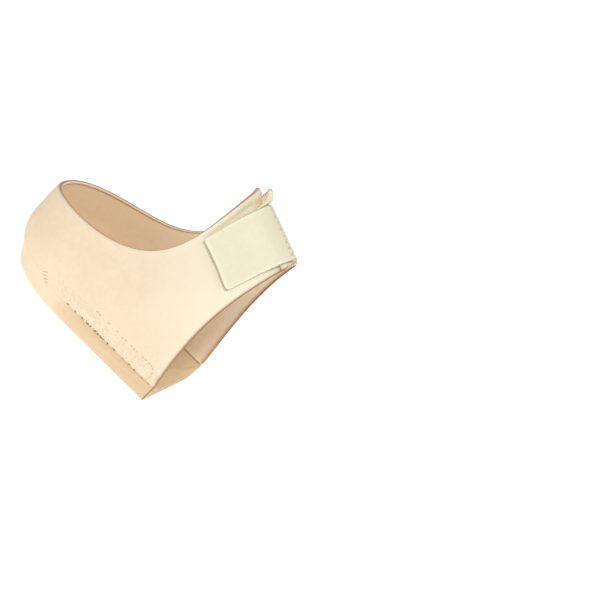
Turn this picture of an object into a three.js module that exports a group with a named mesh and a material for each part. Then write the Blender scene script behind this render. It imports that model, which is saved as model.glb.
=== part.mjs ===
// A heel pad: a stretch-cloth sleeve round the heel, sewn to a padded sole, whose two wings
// close over the instep under a hook-and-loop tab.
// Millimetres. +X points to the toes and +Z up, and the tab is on the -Y side.
// The origin is on top of the sole pad, where the heel sits.
import * as THREE from "three";

// Cloth, pad and clearance
const WALL = 2.2; // thickness of the sleeve's foam-backed cloth
const TAB_THICK = 1.6;
const GAP = 0.3; // clearance between pieces that are sewn or pressed together
const PAD_THICK = 7; // sole pad under the heel
const SEAM_HEIGHT = 9.2; // of the seam between sleeve and sole, above the underside
const UNDERSIDE_Z = -PAD_THICK;
const SEAM_Z = UNDERSIDE_Z + SEAM_HEIGHT;

// Midline of the heel and sole, seen from the side
const HEEL_BACK_X = -35.5;
const HEEL_RADIUS = 22;
const SOLE_FRONT_X = 60;
const COLLAR_BACK_Z = 30;
const COLLAR_BACK_LEAN = 0.4; // how far the top of the heel leans back

// Midline of the instep, from the collar to the front edge
const RIDGE_COLLAR = { x: 32, z: 87 };
const RIDGE_FRONT = { x: 64, z: 75 };
const FLARE_HEIGHT = 3.5; // how far the collar stands off the instep
const FLARE_SHARE = 0.2; // the part of the instep's width that flares

// The sleeve's form is a row of tilted rings, from the collar (share 0) to the front edge (share 1).
// bow is how far a ring's side curves towards the toes, off the straight line from heel to instep.
// heelSquare is the exponent of the ring's lower half: 2 is an ellipse, more is squarer.
const RINGS = [
  { share: 0.0, halfWidth: 29.0, bow: 22.5, heelSquare: 2.0 },
  { share: 0.2, halfWidth: 31.4, bow: 17.6, heelSquare: 2.3 },
  { share: 0.45, halfWidth: 33.0, bow: 10.4, heelSquare: 3.1 },
  { share: 0.75, halfWidth: 33.0, bow: 1.9, heelSquare: 3.3 },
  { share: 1.0, halfWidth: 32.6, bow: -4.2, heelSquare: 3.3 },
];
const INSTEP_SQUARE = 2.1; // exponent of every ring's upper half
const WIDEST_SHARE = 0.36; // where a ring is widest, from heel to instep
const BOW_SKEW = 1.18; // over 1 puts the deepest bow nearer the instep

// Wings: how far each passes the middle of the instep, as an angle round the ring
const NEAR_WING_PAST = 0.24;
const FAR_WING_PAST = 0.17;
const FAR_WING_RISE = { from: 0.85, to: 0.4 }; // the far wing climbs onto the near one between these
const FRONT_CORNER_WRAP = 0.5; // share of the half sleeve from the back of the heel to its front corner

// Tab: each long edge from its sewn end to its free end. past is an angle beyond the middle of the instep.
const TAB_UPPER = { sewnPast: -0.14, sewnShare: 0.17, freePast: 0.785, freeShare: 0.118 };
const TAB_LOWER = { sewnPast: -0.07, sewnShare: 0.955, freePast: 0.905, freeShare: 0.848 };
const TAB_STEP = { from: 0.24, to: 0.52 }; // where it comes down off the far wing
const TAB_CORNER = 2; // radius of its two free corners
const TAB_FREE_WIDTH = 25;
const TAB_TURN_RADIUS = 40; // of the instep under the tab's free end
const TAB_END_BOW = 0.035; // angle that the middle of the free end draws back, so that it looks straight

// Sole pad: how far its side rounds in on the way down, from the back of the heel to the front corners
const PAD_ROUND = [
  { share: 0.0, inset: 9.0 },
  { share: 0.5, inset: 3.5 },
  { share: 1.0, inset: 7.0 },
];
const PAD_ROUND_STEPS = 5;
const PAD_SPINE = { back: -6, front: 57 }; // insets point at this stretch of the middle line
// The dished top, as heights above the underside from the rim inwards
const PAD_TOP = [
  { inset: 0.0, height: SEAM_HEIGHT - GAP },
  { inset: 3.0, height: SEAM_HEIGHT - GAP },
  { inset: 8.0, height: 7.6 },
  { inset: 13.0, height: PAD_THICK },
];

// Facets
const SLEEVE_COLUMNS = 78;
const SLEEVE_ROWS = 14;
const TAB_COLUMNS = 18;
const TAB_ROWS = 10;
const PAD_SEAM_STEPS = 44;
const PAD_FRONT_STEPS = 10;

const CLOTH_LOOK = { color: 0xf3dfc0, roughness: 0.85, metalness: 0 };
const SOLE_LOOK = { color: 0xe8cda2, roughness: 0.8, metalness: 0 };
const TAB_LOOK = { color: 0xece3c8, roughness: 0.75, metalness: 0 };

const lerp = THREE.MathUtils.lerp;
const clamp = THREE.MathUtils.clamp;
const smooth = THREE.MathUtils.smoothstep;

// The slope of a table's column at one row: the rise between its neighbours.
function rowSlope(table, row, column) {
  const before = table[Math.max(row - 1, 0)];
  const after = table[Math.min(row + 1, table.length - 1)];
  return (after[column] - before[column]) / (after.share - before.share);
}

// A column of a table at any share, on a cubic through its rows.
function tableValue(table, column, share) {
  let row = 0;
  while (row < table.length - 2 && share > table[row + 1].share) row += 1;
  const [a, b] = [table[row], table[row + 1]];
  const width = b.share - a.share;
  const t = (share - a.share) / width;
  const startBend = width * rowSlope(table, row, column);
  const endBend = width * rowSlope(table, row + 1, column);
  const curve = 2 * (a[column] - b[column]) + startBend + endBend;
  const turn = 3 * (b[column] - a[column]) - 2 * startBend - endBend;
  return a[column] + t * (startBend + t * (turn + t * curve));
}

// Midline of heel and sole: a line down the back, an arc under the heel, and a line to the front.
function heelMidline(share) {
  const backLength = COLLAR_BACK_Z - UNDERSIDE_Z - HEEL_RADIUS;
  const arcLength = (HEEL_RADIUS * Math.PI) / 2;
  const soleLength = SOLE_FRONT_X - HEEL_BACK_X - HEEL_RADIUS;
  const run = share * (backLength + arcLength + soleLength);
  const down = clamp(run, 0, backLength);
  const turn = clamp((run - backLength) / HEEL_RADIUS, 0, Math.PI / 2);
  const forward = Math.max(run - backLength - arcLength, 0);
  const lean = COLLAR_BACK_LEAN * (1 - down / backLength) ** 1.5;
  return {
    x: HEEL_BACK_X - lean + HEEL_RADIUS * (1 - Math.cos(turn)) + forward,
    z: COLLAR_BACK_Z - down - HEEL_RADIUS * Math.sin(turn),
  };
}

// Midline of the instep: a straight slope whose collar end flares up.
function instepMidline(share) {
  const flare = FLARE_HEIGHT * Math.max(1 - share / FLARE_SHARE, 0) ** 2;
  return {
    x: lerp(RIDGE_COLLAR.x, RIDGE_FRONT.x, share),
    z: lerp(RIDGE_COLLAR.z, RIDGE_FRONT.z, share) + flare,
  };
}

// A point of the sleeve's outer form. around is the angle round a ring: 0 under the heel, pi on the
// instep, negative on the near side. Each half ring is a superellipse, bowed in the side view.
function formPoint(around, share) {
  const heel = heelMidline(share);
  const instep = instepMidline(share);
  const cosine = Math.cos(around);
  const sine = Math.sin(around);
  const lowerHalf = cosine > 0;
  const power = lowerHalf ? tableValue(RINGS, "heelSquare", share) : INSTEP_SQUARE;
  const reach = (Math.abs(cosine) ** power + Math.abs(sine) ** power) ** (-1 / power);
  const climb = WIDEST_SHARE - reach * cosine * (lowerHalf ? WIDEST_SHARE : 1 - WIDEST_SHARE);
  const bow = tableValue(RINGS, "bow", share) * Math.sin(Math.PI * clamp(climb, 0, 1) ** BOW_SKEW);
  const run = instep.x - heel.x;
  const rise = instep.z - heel.z;
  const length = Math.hypot(run, rise);
  return new THREE.Vector3(
    heel.x + run * climb + (bow * rise) / length,
    tableValue(RINGS, "halfWidth", share) * reach * sine,
    heel.z + rise * climb - (bow * run) / length,
  );
}

// The outward direction of the form, from its two tangents.
function formNormal(around, share) {
  const step = 1e-3;
  const alongRing = formPoint(around + step, share).sub(formPoint(around - step, share));
  const back = Math.max(share - step, 0);
  const ahead = Math.min(share + step, 1);
  const acrossRings = formPoint(around, ahead).sub(formPoint(around, back));
  return alongRing.cross(acrossRings).normalize();
}

// A point that stands off the form by lift, negative inwards.
function liftedPoint(around, share, lift) {
  return formPoint(around, share).addScaledVector(formNormal(around, share), lift);
}

// The value between low and high where test turns from true to false.
function turningPoint(test, low, high) {
  for (let i = 0; i < 50; i += 1) {
    const middle = (low + high) / 2;
    if (test(middle)) low = middle;
    else high = middle;
  }
  return (low + high) / 2;
}

const SEAM_BACK_SHARE = turningPoint((share) => formPoint(0, share).z > SEAM_Z, 0, 0.5);

// The seam runs level round the heel: side is 0 at the back and -1 or 1 at the front corners.
function seamPlace(side) {
  const share = SEAM_BACK_SHARE + (1 - SEAM_BACK_SHARE) * side * side;
  const angle = turningPoint((around) => formPoint(around, share).z < SEAM_Z, 0, Math.PI / 2);
  return { around: Math.sign(side) * angle, share };
}

const FRONT_CORNER_ANGLE = seamPlace(1).around;

// The sleeve's lower edge: along the seam to the front corner, then up the wing's front edge.
function sleeveLowerEdge(wrap) {
  const away = Math.abs(wrap);
  if (away <= FRONT_CORNER_WRAP) return seamPlace(wrap / FRONT_CORNER_WRAP);
  const up = (away - FRONT_CORNER_WRAP) / (1 - FRONT_CORNER_WRAP);
  return { around: Math.sign(wrap) * lerp(FRONT_CORNER_ANGLE, Math.PI, up), share: 1 };
}

// A point of the sleeve: wrap runs from the near wing's end to the far wing's end, 0 at the back of
// the heel and 1 on the instep, and drop runs from the collar to the lower edge.
function sleevePoint(wrap, drop, depth) {
  const lower = sleeveLowerEdge(wrap);
  const around = lerp(wrap * Math.PI, lower.around, drop);
  const { from, to } = FAR_WING_RISE;
  const climb = (WALL + GAP) * smooth(around, Math.PI - from, Math.PI - to);
  return liftedPoint(around, drop * lower.share, climb - depth * WALL);
}

// A closed sheet between two faces: place(s, t, depth) is its outer face at depth 0 and its inner
// face at depth 1, with s and t from 0 to 1.
function sheetGeometry(columns, rows, place) {
  const positions = [];
  const index = [];
  const faceSize = (columns + 1) * (rows + 1);
  for (const depth of [0, 1]) {
    for (let i = 0; i <= columns; i += 1) {
      for (let j = 0; j <= rows; j += 1) {
        positions.push(...place(i / columns, j / rows, depth).toArray());
      }
    }
  }
  const at = (depth, i, j) => depth * faceSize + i * (rows + 1) + j;
  const quad = (a, b, c, d) => index.push(a, b, c, a, c, d);
  for (let i = 0; i < columns; i += 1) {
    for (let j = 0; j < rows; j += 1) {
      quad(at(0, i, j), at(0, i + 1, j), at(0, i + 1, j + 1), at(0, i, j + 1));
      quad(at(1, i, j), at(1, i, j + 1), at(1, i + 1, j + 1), at(1, i + 1, j));
    }
    quad(at(1, i, 0), at(1, i + 1, 0), at(0, i + 1, 0), at(0, i, 0));
    quad(at(0, i, rows), at(0, i + 1, rows), at(1, i + 1, rows), at(1, i, rows));
  }
  for (let j = 0; j < rows; j += 1) {
    quad(at(0, 0, j), at(0, 0, j + 1), at(1, 0, j + 1), at(1, 0, j));
    quad(at(1, columns, j), at(1, columns, j + 1), at(0, columns, j + 1), at(0, columns, j));
  }
  const geometry = new THREE.BufferGeometry();
  geometry.setAttribute("position", new THREE.Float32BufferAttribute(positions, 3));
  geometry.setIndex(index);
  geometry.computeVertexNormals();
  return geometry;
}

// A closed solid skinned over level loops of equal length, with flat caps on the first and last.
function stackedGeometry(loops) {
  const count = loops[0].length;
  const positions = loops.flat().flatMap((point) => point.toArray());
  const index = [];
  for (let k = 0; k < loops.length - 1; k += 1) {
    for (let i = 0; i < count; i += 1) {
      const next = (i + 1) % count;
      const [a, b] = [k * count + i, k * count + next];
      index.push(a, b, a + count, b, b + count, a + count);
    }
  }
  const flat = (loop) => loop.map((point) => new THREE.Vector2(point.x, point.y));
  for (const [a, b, c] of THREE.ShapeUtils.triangulateShape(flat(loops[0]), [])) {
    index.push(a, b, c);
  }
  const last = (loops.length - 1) * count;
  for (const [a, b, c] of THREE.ShapeUtils.triangulateShape(flat(loops.at(-1)), [])) {
    index.push(last + a, last + c, last + b);
  }
  const geometry = new THREE.BufferGeometry();
  geometry.setAttribute("position", new THREE.Float32BufferAttribute(positions, 3));
  geometry.setIndex(index);
  geometry.computeVertexNormals();
  return geometry;
}

function heelSleeve() {
  const nearEnd = -1 - NEAR_WING_PAST / Math.PI;
  const farEnd = 1 + FAR_WING_PAST / Math.PI;
  const place = (s, t, depth) => sleevePoint(lerp(nearEnd, farEnd, s), t, depth);
  return sheetGeometry(SLEEVE_COLUMNS, SLEEVE_ROWS, place);
}

// Height of the pad's top at a distance in from its rim.
function padTopHeight(inset) {
  const row = PAD_TOP.findIndex((next) => next.inset > inset);
  if (row < 0) return PAD_THICK;
  const [a, b] = [PAD_TOP[row - 1], PAD_TOP[row]];
  return lerp(a.height, b.height, (inset - a.inset) / (b.inset - a.inset));
}

// A loop of the pad: the seam's line moved in towards the middle line, then straight across the front,
// where it stays under the dished top. insetAt gives the inset from the back (0) to the front corners (1).
function padLoop(insetAt, height) {
  const loop = [];
  for (let i = 0; i <= PAD_SEAM_STEPS; i += 1) {
    const side = lerp(-1, 1, i / PAD_SEAM_STEPS);
    const { around, share } = seamPlace(side);
    const rim = formPoint(around, share);
    const middle = new THREE.Vector3(clamp(rim.x, PAD_SPINE.back, PAD_SPINE.front), 0, rim.z);
    const inward = middle.sub(rim).normalize();
    loop.push(rim.addScaledVector(inward, insetAt(Math.abs(side))).setZ(UNDERSIDE_Z + height));
  }
  const [nearCorner, farCorner] = [loop[0], loop.at(-1)];
  for (let i = 1; i < PAD_FRONT_STEPS; i += 1) {
    const point = farCorner.clone().lerp(nearCorner, i / PAD_FRONT_STEPS);
    const fromRim = insetAt(1) + Math.min(point.distanceTo(farCorner), point.distanceTo(nearCorner));
    loop.push(point.setZ(UNDERSIDE_Z + Math.min(height, padTopHeight(fromRim))));
  }
  return loop;
}

function solePad() {
  const loops = PAD_TOP.slice(1).toReversed().map(({ inset, height }) => padLoop(() => inset, height));
  for (let k = 0; k <= PAD_ROUND_STEPS; k += 1) {
    const angle = (k / PAD_ROUND_STEPS) * (Math.PI / 2);
    const insetAt = (share) => tableValue(PAD_ROUND, "inset", share) * (1 - Math.cos(angle));
    loops.push(padLoop(insetAt, PAD_TOP[0].height * (1 - Math.sin(angle))));
  }
  return stackedGeometry(loops);
}

// The tab lies over the far wing's end and comes down onto the near wing. Its free end has round corners.
function hookTab() {
  const place = (s, row, depth) => {
    const t = (1 - Math.cos(Math.PI * row)) / 2;
    const freePast = lerp(TAB_UPPER.freePast, TAB_LOWER.freePast, t) - TAB_END_BOW * 4 * t * (1 - t);
    const sewnPast = lerp(TAB_UPPER.sewnPast, TAB_LOWER.sewnPast, t);
    const fromCorner = Math.max(TAB_CORNER - TAB_FREE_WIDTH * Math.min(t, 1 - t), 0);
    const cut = TAB_CORNER - Math.sqrt(TAB_CORNER ** 2 - fromCorner ** 2);
    const past = lerp(sewnPast, freePast - cut / TAB_TURN_RADIUS, s);
    const along = (past - sewnPast) / (freePast - sewnPast);
    const upper = lerp(TAB_UPPER.sewnShare, TAB_UPPER.freeShare, along);
    const lower = lerp(TAB_LOWER.sewnShare, TAB_LOWER.freeShare, along);
    const onFarWing = 1 - smooth(past, TAB_STEP.from, TAB_STEP.to);
    const lift = GAP + (WALL + GAP) * onFarWing + (1 - depth) * TAB_THICK;
    return liftedPoint(Math.PI + past, lerp(upper, lower, t), lift);
  };
  return sheetGeometry(TAB_COLUMNS, TAB_ROWS, place);
}

function namedMesh(name, geometry, look) {
  const mesh = new THREE.Mesh(geometry, new THREE.MeshStandardMaterial(look));
  mesh.name = name;
  return mesh;
}

const heelPad = new THREE.Group();
heelPad.add(namedMesh("heel_sleeve", heelSleeve(), CLOTH_LOOK));
heelPad.add(namedMesh("sole_pad", solePad(), SOLE_LOOK));
heelPad.add(namedMesh("hook_tab", hookTab(), TAB_LOOK));

export default heelPad;
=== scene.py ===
"""Dresses the heel pad: a stretch-cloth sleeve, a padded sole, a hook-and-loop tab and their stitches."""
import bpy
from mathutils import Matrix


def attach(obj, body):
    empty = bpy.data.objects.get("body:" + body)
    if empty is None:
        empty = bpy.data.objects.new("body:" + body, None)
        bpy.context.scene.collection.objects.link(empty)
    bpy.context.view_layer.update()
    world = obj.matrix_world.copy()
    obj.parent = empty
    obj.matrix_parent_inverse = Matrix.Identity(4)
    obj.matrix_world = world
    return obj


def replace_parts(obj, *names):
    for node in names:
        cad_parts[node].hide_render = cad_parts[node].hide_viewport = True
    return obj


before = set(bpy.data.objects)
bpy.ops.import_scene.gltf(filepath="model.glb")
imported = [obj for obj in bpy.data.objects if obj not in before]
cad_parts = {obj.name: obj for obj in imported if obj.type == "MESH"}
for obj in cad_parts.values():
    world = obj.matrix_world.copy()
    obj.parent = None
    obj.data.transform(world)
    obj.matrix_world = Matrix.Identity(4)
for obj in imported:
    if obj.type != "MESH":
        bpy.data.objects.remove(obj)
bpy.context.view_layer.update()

from types import SimpleNamespace

import bmesh
import bpy
import numpy as np
from mathutils import Matrix, Vector

MM = 0.001  # shapes are worked out in millimetres and put into the meshes in metres

# Cloth, pad and clearance
WALL = 2.2
GAP = 0.3
PAD_THICK = 7.0
SEAM_HEIGHT = 9.2
UNDERSIDE_Z = -PAD_THICK
SEAM_Z = UNDERSIDE_Z + SEAM_HEIGHT

# Midline of the heel and sole, and of the instep, seen from the side
HEEL_BACK_X = -36.0
HEEL_REACH, HEEL_DROP = 26.0, 20.5
SOLE_FRONT_X = 60.0
COLLAR_BACK_Z = 30.0
COLLAR_BACK_LEAN, COLLAR_LEAN_POWER = -0.1, 1.5
RIDGE_COLLAR_X, RIDGE_COLLAR_Z = 32.0, 87.0
RIDGE_FRONT_X, RIDGE_FRONT_Z = 64.0, 75.0
FLARE_HEIGHT = 3.5
FLARE_SHARE = 0.2

# The tilted rings of the sleeve's form, from the collar (share 0) to the front edge (share 1)
RINGS = np.array(
    [
        (0.00, 29.0, 23.7, 2.0),
        (0.20, 31.4, 17.6, 2.3),
        (0.45, 33.0, 10.4, 3.1),
        (0.75, 33.0, 1.9, 3.3),
        (1.00, 32.6, -4.2, 3.3),
    ],
    dtype=[("share", float), ("half_width", float), ("bow", float), ("heel_square", float)],
)
INSTEP_SQUARE = 2.1
WIDEST_SHARE = 0.36
BOW_SKEW = 1.18

# Wings and tab, as angles past the middle of the instep and shares from collar to front edge
NEAR_WING_PAST = 0.24
FAR_WING_PAST = 0.17
FAR_WING_RISE_FROM, FAR_WING_RISE_TO = 0.85, 0.4
FRONT_CORNER_WRAP = 0.5
TAB_UPPER = {"sewn_past": -0.14, "sewn_share": 0.17, "free_past": 0.785, "free_share": 0.118}
TAB_LOWER = {"sewn_past": -0.07, "sewn_share": 0.955, "free_past": 0.905, "free_share": 0.848}
TAB_STEP_FROM, TAB_STEP_TO = 0.24, 0.52
TAB_CORNER = 1.3
TAB_LENGTH, TAB_FREE_WIDTH = 40.0, 25.0
TAB_TURN_RADIUS = 40.0
TAB_END_BOW = 0.035

# Sole pad: its middle line and dished top, and the rounding of its side from the back (share 0) to the
# front corners (share 1)
PAD_ROUND = np.array(
    [(0.0, 9.0), (0.45, 4.0), (0.75, 3.0), (1.0, 3.5)],
    dtype=[("share", float), ("inset", float)],
)
PAD_SPINE_BACK, PAD_SPINE_FRONT = -6.0, 52.0
PAD_DISH_FROM, PAD_DISH_TO = 2.0, 14.0

# Edges of cloth: distances from an edge, in millimetres, at which the grids have a line
EDGE_STEPS = np.array([0.0, 0.05, 0.2, 0.45, 0.75, 1.1, 1.6, 2.3])


def smooth(value, low, high):
    """The smooth step of value from low to high: 3t^2 - 2t^3 of the clamped share t."""
    t = np.clip((value - low) / (high - low), 0, 1)
    return t * t * (3 - 2 * t)


def bump_at(distance, width):
    """A bell: e to the minus square of distance over width."""
    return np.exp(-((distance / width) ** 2))


def blend(a, b, share):
    """The straight mix of a and b."""
    return a + (b - a) * share


def table_value(table, column, share):
    """A column of a table at any share: the cubic through its rows, whose slope at a row is the rise
    between that row's neighbours."""
    knots, values = table["share"], table[column]
    order = np.arange(len(knots))
    before, after = np.maximum(order - 1, 0), np.minimum(order + 1, len(knots) - 1)
    slopes = (values[after] - values[before]) / (knots[after] - knots[before])
    row = np.clip(np.searchsorted(knots, share) - 1, 0, len(knots) - 2)
    width = knots[row + 1] - knots[row]
    t = (share - knots[row]) / width
    start, end = width * slopes[row], width * slopes[row + 1]
    drop = values[row] - values[row + 1]
    return values[row] + t * (start + t * (-3 * drop - 2 * start - end + t * (2 * drop + start + end)))


def heel_midline(share):
    """x and z of the heel's middle: a line down the back, a quarter ellipse, and a line to the front."""
    back = COLLAR_BACK_Z - UNDERSIDE_Z - HEEL_DROP
    arc = (HEEL_REACH + HEEL_DROP) * np.pi / 4
    run = share * (back + arc + SOLE_FRONT_X - HEEL_BACK_X - HEEL_REACH)
    down = np.clip(run, 0, back)
    turn = np.clip((run - back) / arc, 0, 1) * np.pi / 2
    lean = COLLAR_BACK_LEAN * (1 - down / back) ** COLLAR_LEAN_POWER
    x = HEEL_BACK_X - lean + HEEL_REACH * (1 - np.cos(turn)) + np.maximum(run - back - arc, 0)
    return x, COLLAR_BACK_Z - down - HEEL_DROP * np.sin(turn)


def form_point(around, share):
    """The sleeve's outer form. Each ring is two half superellipses from the heel (around 0) to the instep
    (around pi), bowed in the side view by a sine of the climb; the near side has negative angles."""
    around, share = np.broadcast_arrays(np.asarray(around, float), np.asarray(share, float))
    heel_x, heel_z = heel_midline(share)
    flare = FLARE_HEIGHT * np.maximum(1 - share / FLARE_SHARE, 0) ** 2
    run = blend(RIDGE_COLLAR_X, RIDGE_FRONT_X, share) - heel_x
    rise = blend(RIDGE_COLLAR_Z, RIDGE_FRONT_Z, share) + flare - heel_z
    cosine, sine = np.cos(around), np.sin(around)
    power = np.where(cosine > 0, table_value(RINGS, "heel_square", share), INSTEP_SQUARE)
    reach = (np.abs(cosine) ** power + np.abs(sine) ** power) ** (-1 / power)
    climb = WIDEST_SHARE - reach * cosine * np.where(cosine > 0, WIDEST_SHARE, 1 - WIDEST_SHARE)
    bow = table_value(RINGS, "bow", share) * np.sin(np.pi * np.clip(climb, 0, 1) ** BOW_SKEW)
    length = np.hypot(run, rise)
    x = heel_x + run * climb + bow * rise / length
    y = table_value(RINGS, "half_width", share) * reach * sine
    z = heel_z + rise * climb - bow * run / length
    return np.stack([x, y, z], axis=-1)


def form_normal(around, share):
    """The outward unit normal of the form: the cross product of its two tangents, by small differences."""
    step, lowest = 1e-3, -0.1
    before, after = np.maximum(share - step, lowest), np.minimum(share + step, 1)
    along = form_point(around + step, share) - form_point(around - step, share)
    across = form_point(around, after) - form_point(around, before)
    normal = np.cross(along, across)
    return normal / np.linalg.norm(normal, axis=-1, keepdims=True)


def lifted_point(around, share, lift):
    """The form moved out along its normal by lift."""
    return form_point(around, share) + form_normal(around, share) * lift[..., None]


def turning_point(test, low, high):
    """The value between low and high where test turns from true to false, by halving the interval."""
    halvings = 45
    for _ in range(halvings):
        middle = (low + high) / 2
        below = test(middle)
        low, high = np.where(below, middle, low), np.where(below, high, middle)
    return (low + high) / 2


SEAM_BACK_SHARE = turning_point(
    lambda share: form_point(0.0, share)[..., 2] > SEAM_Z, np.zeros(1), np.full(1, 0.5)
)[0]


def seam_place(side):
    """Angle and share of the level seam, where the form crosses its height: side is 0 at the back of the
    heel and -1 or 1 at the front corners, and the share grows with its square."""
    share = SEAM_BACK_SHARE + (1 - SEAM_BACK_SHARE) * side * side
    low, high = np.zeros_like(share), np.full_like(share, np.pi / 2)
    angle = turning_point(lambda around: form_point(around, share)[..., 2] < SEAM_Z, low, high)
    return np.sign(side) * angle, share


FRONT_CORNER_ANGLE = seam_place(np.ones(1))[0][0]


def sleeve_lower_edge(wrap):
    """Angle and share of the sleeve's lower edge: the seam as far as the front corners, then the wing's
    front edge, whose angle grows evenly up to the instep."""
    side = np.clip(wrap / FRONT_CORNER_WRAP, -1, 1)
    seam_angle, seam_share = seam_place(side)
    up = np.maximum(np.abs(wrap) - FRONT_CORNER_WRAP, 0) / (1 - FRONT_CORNER_WRAP)
    edge_angle = np.sign(wrap) * blend(FRONT_CORNER_ANGLE, np.pi, up)
    on_seam = np.abs(wrap) <= FRONT_CORNER_WRAP
    return np.where(on_seam, seam_angle, edge_angle), np.where(on_seam, seam_share, 1.0)


def line_length(points, axis):
    """Running length along an axis of a grid of points, from 0 at its first line."""
    steps = np.linalg.norm(np.diff(points, axis=axis), axis=-1)
    return np.insert(np.cumsum(steps, axis=axis), 0, 0, axis=axis)


def crowded(count, length):
    """Shares from 0 to 1, one row for each length: at EDGE_STEPS from both ends, and even between them."""
    near = EDGE_STEPS / np.asarray(length, float)[..., None]
    start, end = near[..., -1:], 1 - near[..., -1:]
    middle = blend(start, end, np.linspace(0, 1, count + 2)[1:-1])
    return np.concatenate([near, middle, 1 - near[..., ::-1]], axis=-1)


def edge_round(distance, radius):
    """Height of a round edge as a share of its full height: a quarter circle over radius."""
    return np.sqrt(np.clip(1 - (1 - np.minimum(distance / radius, 1)) ** 2, 0, 1))


def grid_faces(index):
    """Quads between neighbours of a grid of vertex numbers."""
    corners = index[:-1, :-1], index[1:, :-1], index[1:, 1:], index[:-1, 1:]
    return np.stack(corners, axis=-1).reshape(-1, 4)


def closed_sheet(outer, inner):
    """Points and faces of a sheet with two faces that share their rim: the outer grid, then the inner
    grid's inside points, with the inner faces turned round."""
    rows, columns = outer.shape[:2]
    front = np.arange(rows * columns).reshape(rows, columns)
    back = front.copy()
    back[1:-1, 1:-1] = rows * columns + np.arange((rows - 2) * (columns - 2)).reshape(rows - 2, columns - 2)
    points = np.concatenate([outer.reshape(-1, 3), inner[1:-1, 1:-1].reshape(-1, 3)])
    return points, np.concatenate([grid_faces(front), grid_faces(back)[:, ::-1]])


def both_sides(values, inside):
    """Values for the points of a closed sheet: the outer face's grid, then inside for the inner points."""
    return np.concatenate([values.ravel(), inside[1:-1, 1:-1].ravel()])


def new_piece(name, points, faces, material, flat, marks=None):
    """A mesh object from points in millimetres: faces is a list of arrays of equal-sized faces, flat a
    map of each point in two columns for the weave, and marks named values of each point."""
    mesh = bpy.data.meshes.new(name)
    mesh.vertices.add(len(points))
    mesh.vertices.foreach_set("co", (points * MM).astype(np.float32).ravel())
    corners = np.concatenate([part.ravel() for part in faces])
    sizes = np.concatenate([np.full(len(part), part.shape[1]) for part in faces])
    mesh.loops.add(len(corners))
    mesh.loops.foreach_set("vertex_index", corners.astype(np.int32))
    mesh.polygons.add(len(sizes))
    mesh.polygons.foreach_set("loop_start", (np.cumsum(sizes) - sizes).astype(np.int32))
    mesh.update(calc_edges=True)
    mesh.polygons.foreach_set("use_smooth", np.ones(len(sizes), bool))
    layer = mesh.uv_layers.new(name="flat")
    layer.data.foreach_set("uv", flat[corners].astype(np.float32).ravel())
    for mark, values in (marks or {}).items():
        attribute = mesh.attributes.new(mark, "FLOAT", "POINT")
        attribute.data.foreach_set("value", values.astype(np.float32).ravel())
    mesh.materials.append(material)
    piece = bpy.data.objects.new(name, mesh)
    bpy.context.scene.collection.objects.link(piece)
    return piece


def join_points(mesh):
    """Joins the points of a mesh that lie within a thousandth of a millimetre."""
    work = bmesh.new()
    work.from_mesh(mesh)
    bmesh.ops.remove_doubles(work, verts=work.verts, dist=1e-3 * MM)
    work.to_mesh(mesh)
    work.free()


# Node helpers

MIX_INPUTS, MIX_RESULT = (0, 6, 7), 2  # places of the factor, the two colours and the result in a Mix node


def feed(tree, socket, value):
    """Links an output to a socket, or sets the socket to a plain value."""
    if isinstance(value, bpy.types.NodeSocket):
        tree.links.new(value, socket)
    else:
        socket.default_value = value


def add_node(tree, kind, settings=None, **sockets):
    """A shader node with settings and with its named inputs set to a value or linked to an output."""
    node = tree.nodes.new(kind)
    for key, value in (settings or {}).items():
        setattr(node, key, value)
    for key, value in sockets.items():
        feed(tree, node.inputs[key.replace("_", " ")], value)
    return node


def math_node(tree, operation, *values):
    """The output of a Math node on values or outputs."""
    node = tree.nodes.new("ShaderNodeMath")
    node.operation = operation
    for socket, value in zip(node.inputs, values):
        feed(tree, socket, value)
    return node.outputs[0]


def mix_colour(tree, factor, a, b):
    """The output of a Mix node between two colours."""
    node = tree.nodes.new("ShaderNodeMix")
    node.data_type = "RGBA"
    for place, value in zip(MIX_INPUTS, (factor, a, b)):
        feed(tree, node.inputs[place], value)
    return node.outputs[MIX_RESULT]


def new_group(name, inputs, outputs):
    """An empty shader group: inputs are named floats with their defaults, or vectors where the default is
    None, and outputs are named floats."""
    group = bpy.data.node_groups.new(name, "ShaderNodeTree")
    for key, value in inputs.items():
        kind = "NodeSocketVector" if value is None else "NodeSocketFloat"
        socket = group.interface.new_socket(key, in_out="INPUT", socket_type=kind)
        if value is not None:
            socket.default_value = value
    for key in outputs:
        group.interface.new_socket(key, in_out="OUTPUT", socket_type="NodeSocketFloat")
    return group, group.nodes.new("NodeGroupInput"), group.nodes.new("NodeGroupOutput")


def place_group(tree, group, **sockets):
    """A group placed in a material, with its inputs set or linked."""
    return add_node(tree, "ShaderNodeGroup", {"node_tree": group}, **sockets)


# Knit: the rows of loops in a rib's width, and the share of the ribs in the relief
LOOPS_TO_RIB, RIB_RELIEF = 1.3, 0.4


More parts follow.
